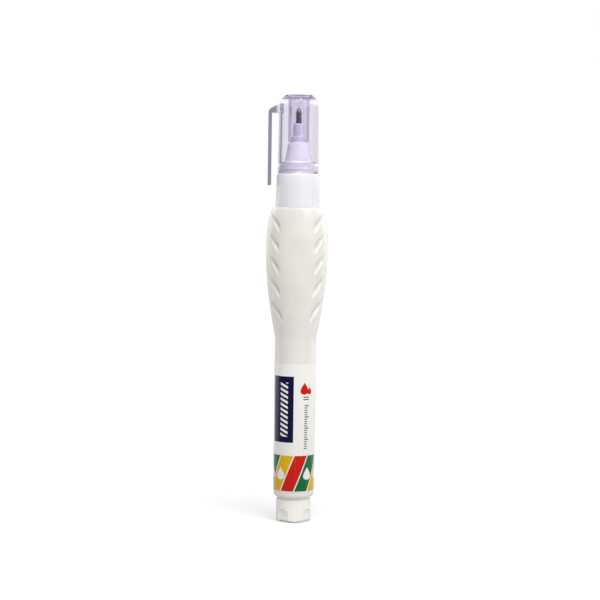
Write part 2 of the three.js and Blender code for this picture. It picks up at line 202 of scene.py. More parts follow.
# Floor: a wide pale sheet. Where it is seen, also through the cap or mirrored, a little light of its own
# lifts it to the white of the background, more so far from the lamps, and the pen's shadow stays on it.
# In front of the pen it is dark where it is mirrored, as the room is there.
def new_piece(name, shell):
    """A new object of the shape in a bmesh, which is used up."""
    mesh = bpy.data.meshes.new(name)
    shell.to_mesh(mesh)
    shell.free()
    return new_object(name, mesh)


def new_finish(name, **plain):
    """A new material and its Principled shader. A socket's name has underscores for spaces here."""
    finish = bpy.data.materials.new(name)
    finish.use_nodes = True
    shader = finish.node_tree.nodes["Principled BSDF"]
    for words, value in plain.items():
        shader.inputs[words.replace("_", " ")].default_value = value
    return finish, finish.node_tree, shader


def linear(red, green, blue):
    """A shader's colour from the red, green and blue of a screen, 0 to 255."""
    colour = []
    for channel in (red, green, blue):
        share = channel / 255
        colour.append(share / 12.92 if share <= 0.04045 else ((share + 0.055) / 1.055) ** 2.4)
    return (*colour, 1)


def paint(tree, under, over, mask):
    """The colour under, covered by the colour over where the mask is 1."""
    node = add(tree, "ShaderNodeMix", data_type="RGBA")
    for socket, value in zip((node.inputs[0], node.inputs[6], node.inputs[7]), (mask, under, over)):
        feed(tree, socket, value)
    return node.outputs[2]


def own_place(tree):
    """Where a point lies on its own piece: X, Y and Z in metres."""
    place = add(tree, "ShaderNodeSeparateXYZ")
    feed(tree, place.inputs[0], add(tree, "ShaderNodeTexCoord").outputs["Object"])
    return place.outputs


floor_reach = 3.0
floor_colour = linear(196, 196, 196)
floor_lift = 0.42
floor_far_lift = 0.85
floor_lift_range = (0.12, 1.3)
floor_mirrored_in_front = (0.12, 0.12, 0.12, 1)
floor_front_range = (0.1, -0.05)

sheet = bmesh.new()
bmesh.ops.create_grid(sheet, x_segments=1, y_segments=1, size=floor_reach)
floor = new_piece("floor", sheet)
floor_finish, tree, shader = new_finish("studio_floor", Roughness=0.9, Specular_IOR_Level=0)
feed(tree, shader.inputs["Emission Color"], (1, 1, 1, 1))
from_pen = add(tree, "ShaderNodeVectorMath", operation="LENGTH")
feed(tree, from_pen.inputs[0], add(tree, "ShaderNodeTexCoord").outputs["Object"])
distance = ramp(tree, from_pen.outputs["Value"], *floor_lift_range)
lift = weigh(tree, distance, floor_lift, floor_far_lift)
ray = add(tree, "ShaderNodeLightPath").outputs
in_front = ramp(tree, own_place(tree)["Y"], *floor_front_range)
in_front = times(tree, in_front, ray["Is Glossy Ray"])
colour = paint(tree, floor_colour, floor_mirrored_in_front, in_front)
feed(tree, shader.inputs["Base Color"], colour)
seen = calc(tree, "MAXIMUM", ray["Is Glossy Ray"], ray["Is Transmission Ray"])
seen = calc(tree, "MAXIMUM", seen, ray["Is Camera Ray"])
seen = calc(tree, "SUBTRACT", seen, in_front)
feed(tree, shader.inputs["Emission Strength"], times(tree, seen, lift))
floor.data.materials.append(floor_finish)


# Squeeze barrel: one blow-moulded bottle of soft white polyethylene. A straight tube swells into an oval
# grip with five slanting finger grooves on each side, and ends in a flat shoulder and a neck.
def in_mm(node):
    """A node's lowest and highest corners in millimetres."""
    low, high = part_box(node)
    return low / mm, high / mm


def rounded(corners, steps=5):
    """Points of an outline. Its corners are (radius, height) or, with a curve, (radius, height, rounding).

    Only an outline that closes on itself may round its first and last corners.
    """
    points = []
    for i, (radius, height, *rounding) in enumerate(corners):
        corner = Vector((radius, height))
        if not rounding:
            points.append(corner)
            continue
        before = Vector(corners[i - 1][:2]) - corner
        after = Vector(corners[(i + 1) % len(corners)][:2]) - corner
        room = 0.48 * min(before.length, after.length)
        reach = min(rounding[0], room)
        start = corner + before.normalized() * reach
        end = corner + after.normalized() * reach
        for step in range(steps + 1):
            along = step / steps
            left = 1 - along
            points.append(left**2 * start + 2 * along * left * corner + along**2 * end)
    return points


def round_place(radius, height, angle):
    """A point on a round piece. Angle 0 is the front."""
    return Vector((radius * math.sin(angle), -radius * math.cos(angle), height))


def shade(mesh, sharp_from=35):
    """Smooth shading, apart from edges sharper than that many degrees."""
    mesh.polygons.foreach_set("use_smooth", [True] * len(mesh.polygons))
    mesh.set_sharp_from_angle(angle=math.radians(sharp_from))


def join_rings(shell, rings):
    """Makes the faces between each ring of points and the next. A ring on the axis is one point."""
    for lower, upper in zip(rings, rings[1:]):
        sides = max(len(lower), len(upper))
        for i in range(sides):
            j = (i + 1) % sides
            corners = [ring[k % len(ring)] for ring, k in ((lower, i), (lower, j), (upper, j), (upper, i))]
            shell.faces.new(dict.fromkeys(corners))


def turned(name, outline, sides=160, place=round_place):
    """A new closed piece, turned from an outline in mm.

    The outline closes on itself, or starts and ends on the axis.
    """
    shell = bmesh.new()
    rings = []
    for radius, height in outline:
        count = 1 if radius == 0 else sides
        around = [place(radius, height, math.tau * i / sides) for i in range(count)]
        rings.append([shell.verts.new(point * mm) for point in around])
    if outline[0][0] != 0:
        rings.append(rings[0])
    join_rings(shell, rings)
    bmesh.ops.recalc_face_normals(shell, faces=shell.faces)
    piece = new_piece(name, shell)
    shade(piece.data)
    return piece


barrel_low, barrel_high = in_mm("squeeze_barrel")
nozzle_low, nozzle_high = in_mm("nozzle_collar")
barrel_bottom = barrel_low.z
neck_top = barrel_high.z
shoulder = nozzle_low.z
grip_width = 20.4
grip_depth = 17.2
grip_bottom = shoulder - 42.6
grip_widest = shoulder - 15.6
tube_radius = 6.9
tube_taper = 0.3
tube_bore = 5.75
shoulder_radius = 7.6
neck_radius = 5.85
neck_bore = 4.7
grip_wall = 1.5
barrel_lip = 0.35
barrel_lip_height = 0.5
barrel_lip_slope = 0.12
barrel_slope_height = 2
barrel_mouth = 0.1
groove_count = 5
groove_low = 8
groove_high = 7
groove_inner_x = 5.5
groove_slope = 1.4
groove_half_width = 1.2
groove_depth = 0.82
groove_side_depth = 0.05
groove_outer_x = 9.3
groove_fade = 2.2
groove_run_in = 0.055


def grip_half(height, widest_half):
    """Half the grip's width or depth: it swells as a quarter sine and closes as a quarter ellipse."""
    if height <= grip_widest:
        share = max(0, (height - grip_bottom) / (grip_widest - grip_bottom))
        return tube_radius + (widest_half - tube_radius) * math.sin(share * math.pi / 2)
    share = min(1, (height - grip_widest) / (shoulder - grip_widest))
    return shoulder_radius + (widest_half - shoulder_radius) * math.sqrt(1 - share**2)


def smooth(share):
    """A share kept from 0 to 1 and eased at both ends."""
    share = max(0, min(1, share))
    return share * share * (3 - 2 * share)


def groove_at(x, height, angle):
    """How deep the finger grooves are at a point of the grip. Angle 0 is the front."""
    half_width = grip_width / 2
    start = math.asin(groove_inner_x / half_width)
    share = (abs(angle) - start) / (math.pi - 2 * start)
    if not 0 < share < 1:
        return 0
    run_in = smooth(min(share, 1 - share) / groove_run_in)
    fade = smooth((groove_outer_x - abs(x)) / groove_fade)
    depth = groove_side_depth + (groove_depth - groove_side_depth) * fade
    lean = groove_slope * math.cos(angle)
    pitch = (shoulder - grip_bottom - groove_low - groove_high) / (groove_count - 1)
    cut = 0
    for i in range(groove_count):
        middle = grip_bottom + groove_low + i * pitch + groove_slope * (abs(x) - groove_inner_x)
        across = (height - middle) / math.sqrt(1 + lean**2) / groove_half_width
        if abs(across) < 1:
            cut += depth * run_in * (1 - across**2) ** 2
    return cut


def taper(height):
    """How much narrower the tube's outer face is at a height: most at its lower end."""
    return tube_taper * max(0, grip_bottom - height) / (grip_bottom - barrel_bottom)


def barrel_place(radius, height, angle):
    """A point on the barrel: oval along the grip, with the grooves pressed into its outer face."""
    if radius > tube_bore + 1.5 * barrel_mouth:
        radius -= taper(height)
    if not grip_bottom < height < shoulder:
        return round_place(radius, height, angle)
    half_width = grip_half(height, grip_width / 2)
    half_depth = grip_half(height, grip_depth / 2)
    point = round_place(radius, height, angle)
    point.y *= half_depth / half_width
    if radius > half_width - grip_wall / 2:
        outward = Vector((math.sin(angle) / half_width, -math.cos(angle) / half_depth, 0)).normalized()
        turn = math.remainder(angle, math.tau)
        point -= outward * groove_at(point.x, height, turn)
    return point


def barrel_outline():
    """The barrel's wall: up the outside and down the inside."""
    swell_steps = 75
    close_steps = 64
    inside_steps = 24
    lip = rounded(
        [
            (tube_bore, barrel_bottom),
            (tube_radius - barrel_lip, barrel_bottom, 0.12),
            (tube_radius - barrel_lip_slope, barrel_bottom + barrel_lip_height, 0.4),
            (tube_radius, barrel_bottom + barrel_slope_height),
        ]
    )
    outside = lip[1:]
    for height in (grip_bottom - 12, grip_bottom - 4, grip_bottom):
        outside.append((tube_radius, height))
    for i in range(1, swell_steps):
        height = grip_bottom + (grip_widest - grip_bottom) * i / swell_steps
        outside.append((grip_half(height, grip_width / 2), height))
    inside = []
    for steps, inset, points in ((close_steps, 0, outside), (inside_steps, grip_wall, inside)):
        for i in range(steps + 1):
            angle = math.pi / 2 * i / steps
            radius = shoulder_radius + (grip_width / 2 - shoulder_radius) * math.cos(angle)
            height = grip_widest + (shoulder - grip_widest) * math.sin(angle)
            points.append((radius - inset * math.cos(angle), height - inset * math.sin(angle)))
    swell_inside = []
    for i in range(1, inside_steps):
        height = grip_bottom + (grip_widest - grip_bottom) * i / inside_steps
        swell_inside.append((grip_half(height, grip_width / 2) - grip_wall, height))
    neck = rounded(
        [
            (neck_radius, shoulder),
            (neck_radius, neck_top, 0.3),
            (neck_bore, neck_top, 0.2),
            (neck_bore, shoulder - grip_wall),
        ]
    )
    mouth = [(tube_bore, barrel_bottom + 1.5 * barrel_mouth), (tube_bore + barrel_mouth, barrel_bottom)]
    return [*outside, *neck, *reversed(swell_inside + inside), (tube_bore, grip_bottom), *mouth]


def mark_grooves(mesh):
    """Writes on each point how deep in a groove it lies, 0 to 1, by which the grooves' colour is made
    darker.
    """
    depths = mesh.attributes.new("groove", "FLOAT", "POINT")
    for vertex, depth in zip(mesh.vertices, depths.data):
        x, y, height = vertex.co / mm
        on_grip = grip_bottom < height < shoulder
        angle = math.atan2(x / grip_width, -y / grip_depth)
        depth.value = groove_at(x, height, angle) / groove_depth if on_grip else 0


def new_effect(name, inputs, outputs):
    """A new shader node group, and the sockets of its two ends."""
    effect = bpy.data.node_groups.new(name, "ShaderNodeTree")
    for title, value in inputs.items():
        socket = effect.interface.new_socket(title, in_out="INPUT", socket_type="NodeSocketFloat")
        socket.default_value = value
    for title in outputs:
        effect.interface.new_socket(title, in_out="OUTPUT", socket_type="NodeSocketFloat")
    return effect, add(effect, "NodeGroupInput").outputs, add(effect, "NodeGroupOutput").inputs


def noise(tree, scale, detail=2.0, stretch=None):
    """A soft noise value, 0 to 1, in the piece's own place. Scale is the number of spots in a metre."""
    node = add(tree, "ShaderNodeTexNoise")
    place = add(tree, "ShaderNodeTexCoord").outputs["Object"]
    if stretch:
        mapping = add(tree, "ShaderNodeMapping")
        mapping.inputs["Scale"].default_value = stretch
        feed(tree, mapping.inputs["Vector"], place)
        place = mapping.outputs[0]
    feed(tree, node.inputs["Vector"], place)
    feed(tree, node.inputs["Scale"], scale)
    feed(tree, node.inputs["Detail"], detail)
    return node.outputs[0]


def place_effect(tree, effect, **values):
    """Puts an effect into a material with its own values, and returns its outputs."""
    node = add(tree, "ShaderNodeGroup", node_tree=effect)
    for words, value in values.items():
        feed(tree, node.inputs[words.replace("_", " ")], value)
    return node.outputs


def emboss(tree, shader, height, depth):
    """Bumps a surface by a height of 0 to 1 that stands for so many millimetres."""
    node = add(tree, "ShaderNodeBump")
    node.inputs["Distance"].default_value = depth * mm
    feed(tree, node.inputs["Height"], height)
    feed(tree, shader.inputs["Normal"], node.outputs[0])


# Moulded skin: fine sandblast grain of the mould and the slow waves of a wall that shrank as it cooled.
wave_weight = 2.5
tone_range = (0.3, 0.7)
moulded_skin, given, result = new_effect("moulded_skin", {"Grain": 4200, "Waves": 140}, ("Height", "Tone"))
waves = noise(moulded_skin, given["Waves"])
grain = noise(moulded_skin, given["Grain"], 3)
feed(moulded_skin, result["Height"], calc(moulded_skin, "MULTIPLY_ADD", waves, wave_weight, grain))
feed(moulded_skin, result["Tone"], ramp(moulded_skin, waves, *tone_range))

# Handling: rubbed patches, hairline scratches along the pen and a few dark specks.
rub_scale = 90
rub_range = (0.42, 0.66)
scratch_scale = 30
scratch_stretch = (90, 90, 3.5)
scratch_range = (0.66, 0.72)
speck_scale = 260
speck_rarity = 0.86
speck_range = (0.05, 0.02)
handling, given, result = new_effect("handling", {"Size": 1}, ("Rubbed", "Scratch", "Speck"))
rubbed = noise(handling, times(handling, given["Size"], rub_scale), 4)
feed(handling, result["Rubbed"], ramp(handling, rubbed, *rub_range))
hairs = noise(handling, times(handling, given["Size"], scratch_scale), 6, stretch=scratch_stretch)
feed(handling, result["Scratch"], ramp(handling, hairs, *scratch_range))
dots = add(handling, "ShaderNodeTexVoronoi")
feed(handling, dots.inputs["Vector"], add(handling, "ShaderNodeTexCoord").outputs["Object"])
feed(handling, dots.inputs["Scale"], times(handling, given["Size"], speck_scale))
dot_colour = add(handling, "ShaderNodeSeparateColor")
feed(handling, dot_colour.inputs[0], dots.outputs["Color"])
few = calc(handling, "GREATER_THAN", dot_colour.outputs[0], speck_rarity)
dot = ramp(handling, dots.outputs["Distance"], *speck_range)
feed(handling, result["Speck"], times(handling, dot, few))


def roughen(tree, shader, marks, plain, rubbed, scratched):
    """Sets a surface's plain roughness, and what rubbed patches and scratches add to it."""
    roughness = calc(tree, "MULTIPLY_ADD", marks["Rubbed"], rubbed, plain)
    roughness = calc(tree, "MULTIPLY_ADD", marks["Scratch"], scratched, roughness)
    feed(tree, shader.inputs["Roughness"], roughness)


barrel_white = linear(240, 237, 231)
barrel_shade = linear(235, 231, 224)
groove_darker_colour = linear(214, 207, 196)
groove_darker_share = 0.08
speck_grey = linear(150, 146, 140)
seam_half = 0.07
seam_height = 3

barrel_finish, tree, shader = new_finish("soft_white_polyethylene", IOR=1.5, Specular_IOR_Level=1)
skin = place_effect(tree, moulded_skin, Grain=4200, Waves=140)
marks = place_effect(tree, handling, Size=1)
in_groove = add(tree, "ShaderNodeAttribute", attribute_name="groove").outputs["Fac"]
colour = paint(tree, barrel_white, barrel_shade, skin["Tone"])
# The barrel's colour is made a little darker in the grooves, by their depth.
colour = paint(tree, colour, groove_darker_colour, times(tree, in_groove, groove_darker_share))
colour = paint(tree, colour, speck_grey, times(tree, marks["Speck"], 0.5))
feed(tree, shader.inputs["Base Color"], colour)
roughen(tree, shader, marks, plain=0.27, rubbed=-0.05, scratched=0.1)
from_seam = calc(tree, "ABSOLUTE", own_place(tree)["Y"])
seam = ramp(tree, from_seam, seam_half * mm, 0.3 * seam_half * mm)
emboss(tree, shader, calc(tree, "MULTIPLY_ADD", seam, seam_height, skin["Height"]), 0.012)

barrel = turned("barrel", barrel_outline(), sides=216, place=barrel_place)
mark_grooves(barrel.data)
barrel.data.materials.append(barrel_finish)
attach(barrel, "barrel_assembly")
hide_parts("squeeze_barrel")

# Mixing ball: a loose steel bearing ball that stirs the fluid when the pen is shaken. It lies on the
# plug's floor inside the tube, ground smooth, with fine rolling marks.
ball_low, ball_high = in_mm("mixing_ball")
ball_radius = (ball_high.x - ball_low.x) / 2
ball_middle = (ball_high.z + ball_low.z) / 2
ball_rings = 64

steel_light = linear(205, 206, 210)
steel_dark = linear(140, 141, 147)

# Turning marks: the fine rings that a lathe or a rolling die leaves round steel, with a worn sheen.
turning_marks, given, result = new_effect("turning_marks", {"Fineness": 1}, ("Height", "Tone"))
rings = noise(turning_marks, given["Fineness"], 2, stretch=(60, 60, 14000))
sheen = noise(turning_marks, times(turning_marks, given["Fineness"], 900))
feed(turning_marks, result["Height"], rings)
feed(turning_marks, result["Tone"], sheen)


def steel_finish(name, roughness, fineness, light=steel_light, dark=steel_dark):
    """Bright steel with turning marks and small darker patches."""
    finish, tree, shader = new_finish(name, Metallic=1)
    marks = place_effect(tree, turning_marks, Fineness=fineness)
    feed(tree, shader.inputs["Base Color"], paint(tree, light, dark, marks["Tone"]))
    feed(tree, shader.inputs["Roughness"], calc(tree, "MULTIPLY_ADD", marks["Tone"], 0.12, roughness))
    emboss(tree, shader, marks["Height"], 0.006)
    return finish


ball_outline = [(0, ball_middle - ball_radius)]
for i in range(1, ball_rings):
    angle = math.pi * i / ball_rings
    ball_outline.append((ball_radius * math.sin(angle), ball_middle - ball_radius * math.cos(angle)))
ball_outline.append((0, ball_middle + ball_radius))
ball = turned("ball", ball_outline, sides=96)
ball.data.materials.append(steel_finish("bearing_steel", 0.12, 0.4))
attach(ball, "ball")
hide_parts("mixing_ball")

# End plug: an injection-moulded polyethylene cup, pressed into the tube until its snap bead seats. Four
# flats with arched tops are left round the part that shows, for the fingers or a tool that turns it.
plug_low, plug_high = in_mm("end_plug")
plug_radius = 5.65
plug_wall = 1.1
plug_floor = 1.6
plug_bead = 0.08
plug_bead_half = 0.4
plug_bead_drop = 3.5
flat_depth = 0.45
flat_turn = math.radians(7)
flat_top = 4.35
flat_arch = 1.0
flat_half = 1.8
flat_edge = 0.07
plug_foot_radius = 4.6
plug_foot_height = 0.4
plug_foot_raised = 0.4
plug_groove_low = 7.5
plug_groove_depth = 0.75


def plug_place(radius, height, angle):
    """A point on the plug: its side is pressed in to a flat under each arch, and its foot rises there."""
    if radius < plug_foot_radius + 0.1 or height > flat_top + flat_edge:
        return round_place(radius, height, angle)
    quarter = math.remainder(angle - flat_turn - math.pi / 4, math.pi / 2)
    rise = plug_foot_raised * math.cos(2 * quarter)
    height += rise * max(0, 1 - height / flat_top)
    across = abs(plug_radius * math.sin(quarter))
    arch_top = flat_top - flat_arch * min(1, across / flat_half) ** 2
    share = max(0, min(1, (arch_top + flat_edge - height) / (2 * flat_edge)))
    share *= max(0, min(1, (flat_half + flat_edge - across) / (2 * flat_edge)))
    pressed = min(radius, radius * (1 - flat_depth / plug_radius) / math.cos(quarter))
    return round_place(radius + (pressed - radius) * share, height, angle)


def plug_outline():
    """The plug's wall: from the middle of its foot up the outside, and down the inside to its floor."""
    bead_middle = plug_high.z - plug_bead_drop
    ring_count = 64
    ring_step = 0.07
    first_ring = plug_foot_height + 0.37
    foot = rounded(
        [
            (0, plug_low.z),
            (plug_foot_radius, plug_low.z, 0.1),
            (plug_foot_radius, plug_foot_height, 0.1),
            (plug_radius, plug_foot_height, 0.15),
            (plug_radius, plug_foot_height + 0.3),
        ]
    )
    rings = [(plug_radius, first_ring + ring_step * i) for i in range(ring_count)]
    rest = rounded(
        [
            (plug_radius, flat_top + 1),
            (plug_radius, plug_groove_low, 0.1),
            (plug_radius - plug_groove_depth, plug_groove_low + 0.1, 0.1),
            (plug_radius - plug_groove_depth, barrel_bottom + 0.1, 0.1),
            (plug_radius, barrel_bottom + 0.3),
            (plug_radius, bead_middle - plug_bead_half),
            (plug_radius + plug_bead, bead_middle, 0.3),
            (plug_radius, bead_middle + plug_bead_half),
            (plug_radius, plug_high.z, 0.4),
            (plug_radius - plug_wall, plug_high.z, 0.2),
            (plug_radius - plug_wall, plug_floor, 0.5),
            (0, plug_floor),
        ]
    )
    return [*foot, *rings, *rest]


plug_white = linear(250, 247, 242)
plug_shade = linear(246, 243, 238)


def moulded_finish(name, light, dark, roughness, grain, depth, **plain):
    """Hard moulded plastic: fine grain, a slight change of tone, and rubbed patches that shine more."""
    finish, tree, shader = new_finish(name, **plain)
    skin = place_effect(tree, moulded_skin, Grain=grain, Waves=220)
    marks = place_effect(tree, handling, Size=1.4)
    colour = paint(tree, light, dark, skin["Tone"])
    colour = paint(tree, colour, speck_grey, times(tree, marks["Speck"], 0.4))
    feed(tree, shader.inputs["Base Color"], colour)
    roughen(tree, shader, marks, plain=roughness, rubbed=-0.06, scratched=0.1)
    emboss(tree, shader, skin["Height"], depth)
    return finish


plug_finish = moulded_finish("white_polyethylene", plug_white, plug_shade, 0.4, 5200, 0.008)
plug = turned("plug", plug_outline(), sides=224, place=plug_place)
plug.data.materials.append(plug_finish)
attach(plug, "barrel_assembly")
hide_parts("end_plug")

# Label: a printed plastic film wrapped once round the straight tube, its ends lapped and glued at the
# back. The print is a navy panel, two red drops over a fine measure, and a band of slanting stripes.
label_low, label_high = in_mm("label_wrap")
film_inner = tube_radius + 0.03
film_thickness = 0.05
lap_half = 2.2


def label_place(radius, height, angle):
    """A point on the label: its film lies double where its ends lap over each other at the back."""
    from_back = math.pi - abs(math.remainder(angle, math.tau))
    lapped = from_back * radius < lap_half and radius > film_inner + film_thickness / 2
    return round_place(radius - taper(height) + (film_thickness if lapped else 0), height, angle)


label_outline = rounded(
    [
        (film_inner, label_low.z),
        (film_inner + film_thickness, label_low.z, 0.02),
        (film_inner + film_thickness, (label_low.z + label_high.z) / 2),
        (film_inner + film_thickness, label_high.z, 0.02),
        (film_inner, label_high.z),
    ],
    3,
)

print_radius = film_inner + film_thickness
film_white = linear(239, 237, 232)
ink_navy = linear(10, 12, 62)
ink_red = linear(204, 22, 8)
ink_yellow = linear(224, 178, 8)
ink_green = linear(12, 108, 62)
ink_grey = linear(70, 70, 76)
panel_sides = (-8.7, -0.35)
panel_ends = (26.7, 48.4)
panel_bars_sides = (-5.1, -2.3)
panel_bars_ends = (28.6, 46.4)
panel_bar_pitch = 1.65
panel_bar_slant = 0.45
panel_bar_share = 0.5
drop_middle = 3.35
drop_height = 44.5
drop_half = 2.0
small_drop_aside = 2.0
small_drop_half = 1.25
drop_width = 1.05
drop_narrowing = 0.75
measure_sides = (3.5, 4.6)
measure_long_sides = (3.5, 5.2)
measure_ends = (24.6, 39.4)
measure_pitch = 0.74
measure_long_every = 5
tick_share = 0.42
caption_sides = (2.95, 5.15)
caption_ends = (40.45, 41.95)
caption_pitch = 0.75
caption_share = 0.45
band_ends = (label_low.z + 0.25, 22.4)
stripe_count = 9
stripe_slant = -0.42
stripe_shift = -0.4
band_drop_half = 2.1
rules_left = 12.2
rules_right = 19.2
rules_ends = (28, 47)
rules_pitch = 1.3
rules_share = 0.3


def between(tree, value, low, high, soft=0.05):
    """1 where a value lies from low to high, with soft edges."""
    above = ramp(tree, value, low - soft, low + soft)
    below = ramp(tree, value, high + soft, high - soft)
    return times(tree, above, below)


def rows(tree, value, pitch, share):
    """1 in every row of that pitch, along that share of it."""
    within = calc(tree, "FRACT", calc(tree, "DIVIDE", value, pitch))
    return between(tree, within, 0.5 - share / 2, 0.5 + share / 2, 0.06)


def drop_print(tree, across, up, half):
    """1 inside a drop that stands on its round end. Across and up are measured from its middle."""
    share = calc(tree, "DIVIDE", up, half)
    side = calc(tree, "SUBTRACT", 1, times(tree, share, share))
    side = calc(tree, "SQRT", calc(tree, "MAXIMUM", side, 0))
    narrowed = calc(tree, "MULTIPLY_ADD", share, -0.5, 0.5, clamp=True)
    narrowed = calc(tree, "POWER", narrowed, drop_narrowing)
    width = times(tree, side, narrowed, drop_width * half)
    over_edge = calc(tree, "SUBTRACT", calc(tree, "ABSOLUTE", across), width)
    return ramp(tree, over_edge, 0.04, -0.04)


label_finish, tree, shader = new_finish("printed_film", IOR=1.45)
place = own_place(tree)
turn = calc(tree, "ARCTAN2", place["X"], times(tree, place["Y"], -1))
around = times(tree, turn, print_radius)
up = calc(tree, "DIVIDE", place["Z"], mm)

panel = times(tree, between(tree, around, *panel_sides), between(tree, up, *panel_ends))
colour = paint(tree, film_white, ink_navy, panel)
bars = times(
    tree,
    between(tree, around, *panel_bars_sides),
    between(tree, up, *panel_bars_ends),
    rows(tree, calc(tree, "MULTIPLY_ADD", around, panel_bar_slant, up), panel_bar_pitch, panel_bar_share),
)
colour = paint(tree, colour, film_white, bars)

from_drop = calc(tree, "SUBTRACT", around, drop_middle)
drop = drop_print(tree, from_drop, calc(tree, "SUBTRACT", up, drop_height), drop_half)
from_small = calc(tree, "SUBTRACT", from_drop, small_drop_aside)
small_up = calc(tree, "SUBTRACT", up, drop_height - drop_half + small_drop_half)
small_drop = drop_print(tree, from_small, small_up, small_drop_half)
colour = paint(tree, colour, ink_red, calc(tree, "MAXIMUM", drop, small_drop))

short_ticks = rows(tree, up, measure_pitch, tick_share)
short_ticks = times(tree, between(tree, around, *measure_sides), short_ticks)
long_ticks = rows(tree, up, measure_pitch * measure_long_every, tick_share / measure_long_every)
long_ticks = times(tree, between(tree, around, *measure_long_sides), long_ticks)
measure = calc(tree, "MAXIMUM", short_ticks, long_ticks)
measure = times(tree, measure, between(tree, up, *measure_ends))
caption = times(
    tree,
    between(tree, around, *caption_sides),
    between(tree, up, *caption_ends),
    rows(tree, up, caption_pitch, caption_share),
)
rule_random = add(tree, "ShaderNodeTexWhiteNoise", noise_dimensions="1D")
rule_number = calc(tree, "FLOOR", calc(tree, "DIVIDE", up, rules_pitch))
feed(tree, rule_random.inputs["W"], rule_number)
cut_short = times(tree, rule_random.outputs["Value"], rules_right - rules_left)
rule_end = calc(tree, "SUBTRACT", rules_right, cut_short)
rules = times(
    tree,
    ramp(tree, around, rules_left, rules_left + 0.1),
    calc(tree, "LESS_THAN", around, rule_end),
    between(tree, up, *rules_ends),
    rows(tree, up, rules_pitch, rules_share),
)
grey_print = calc(tree, "MAXIMUM", calc(tree, "MAXIMUM", measure, caption), rules)
colour = paint(tree, colour, ink_grey, grey_print)

stripe_width = math.tau * print_radius / stripe_count
band_middle = sum(band_ends) / 2
shifted = calc(tree, "ADD", around, stripe_shift)
stripe = calc(tree, "DIVIDE", calc(tree, "MULTIPLY_ADD", up, stripe_slant, shifted), stripe_width)
third = calc(tree, "WRAP", calc(tree, "FLOOR", stripe), 3, 0)
stripes = paint(tree, ink_yellow, ink_red, calc(tree, "GREATER_THAN", third, 0.5))
stripes = paint(tree, stripes, ink_green, calc(tree, "GREATER_THAN", third, 1.5))
edge_line = between(tree, calc(tree, "FRACT", stripe), 0.04, 0.96, 0.012)
stripes = paint(tree, film_white, stripes, edge_line)

# The band's white drops stand in the middle of every stripe that isn't red.
at_middle = calc(tree, "ADD", shifted, stripe_slant * band_middle)
at_middle = calc(tree, "DIVIDE", at_middle, stripe_width)
across = calc(tree, "SUBTRACT", calc(tree, "FRACT", at_middle), 0.5)
across = times(tree, across, stripe_width)
band_drops = drop_print(tree, across, calc(tree, "SUBTRACT", up, band_middle), band_drop_half)
from_red = calc(tree, "WRAP", calc(tree, "FLOOR", at_middle), 3, 0)
from_red = calc(tree, "ABSOLUTE", calc(tree, "SUBTRACT", from_red, 1))
band_drops = times(tree, band_drops, calc(tree, "GREATER_THAN", from_red, 0.5))
stripes = paint(tree, stripes, film_white, band_drops)
colour = paint(tree, colour, stripes, between(tree, up, *band_ends))

marks = place_effect(tree, handling, Size=1.2)
skin = place_effect(tree, moulded_skin, Grain=1500, Waves=260)
colour = paint(tree, colour, speck_grey, times(tree, marks["Speck"], 0.35))
colour = paint(tree, colour, film_white, times(tree, marks["Scratch"], 0.06))
feed(tree, shader.inputs["Base Color"], colour)
roughen(tree, shader, marks, plain=0.22, rubbed=-0.05, scratched=0.14)
emboss(tree, shader, skin["Height"], 0.006)

label = turned("label", label_outline, sides=256, place=label_place)
label.data.materials.append(label_finish)
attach(label, "barrel_assembly")
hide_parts("label_wrap")


# Spring seat: a small polypropylene disc pressed up inside the nozzle's skirt. A boss keeps the spring in
# the middle, and four holes let the fluid past.
def merge(piece, tool, operation):
    """Joins or cuts a piece with another, which is used up."""
    step = piece.modifiers.new("merge", "BOOLEAN")
    step.operation = operation
    step.object = tool
    step.solver = "EXACT"
    bpy.context.view_layer.update()
    solved = piece.evaluated_get(bpy.context.evaluated_depsgraph_get())
    made = bpy.data.meshes.new_from_object(solved)
    piece.modifiers.clear()
    piece.data = made
    bpy.data.objects.remove(tool)
    shade(piece.data)


seat_low, seat_high = in_mm("spring_seat")
seat_radius = 3.6
seat_thickness = 1.4
seat_top = seat_low.z + seat_thickness
boss_radius = 0.85
flow_hole_count = 4
flow_hole_radius = 0.6
flow_hole_out = 2.3
seat_sides = 96

seat_outline = rounded(
    [
        (0, seat_low.z),
        (seat_radius, seat_low.z, 0.15),
        (seat_radius, seat_top, 0.15),
        (boss_radius, seat_top, 0.12),
        (boss_radius, seat_high.z, 0.2),
        (0, seat_high.z),
    ]
)
seat = turned("seat", seat_outline, sides=seat_sides)

# Turned by half a side, so that no edge of the disc meets a hole's corner.
seat.data.transform(Matrix.Rotation(math.pi / seat_sides, 4, "Z"))
hole_outline = [
    (0, seat_low.z - 1),
    (flow_hole_radius, seat_low.z - 1),
    (flow_hole_radius, seat_top + 1),
    (0, seat_top + 1),
]
for i in range(flow_hole_count):
    hole = turned("hole", hole_outline, sides=32)
    middle = round_place(flow_hole_out, 0, math.tau * i / flow_hole_count)
    hole.data.transform(Matrix.Translation(middle * mm))
    merge(seat, hole, "DIFFERENCE")
valve_light = linear(226, 224, 216)
valve_dark = linear(217, 214, 205)
valve_finish = moulded_finish("natural_polypropylene", valve_light, valve_dark, 0.38, 6500, 0.005)
seat.data.materials.append(valve_finish)
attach(seat, "barrel_assembly")
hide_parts("spring_seat")

# Valve spring: one coiled steel wire with closed ends, between the seat and the needle carrier's flange.
# It is squeezed by half a millimetre when the tip is pressed.
spring_low, spring_high = in_mm("valve_spring")
spring_wire = 0.3
coil_radius = 1.1
spring_turns = 8
closed_turns = 1
steps_per_turn = 40
wire_sides = 12


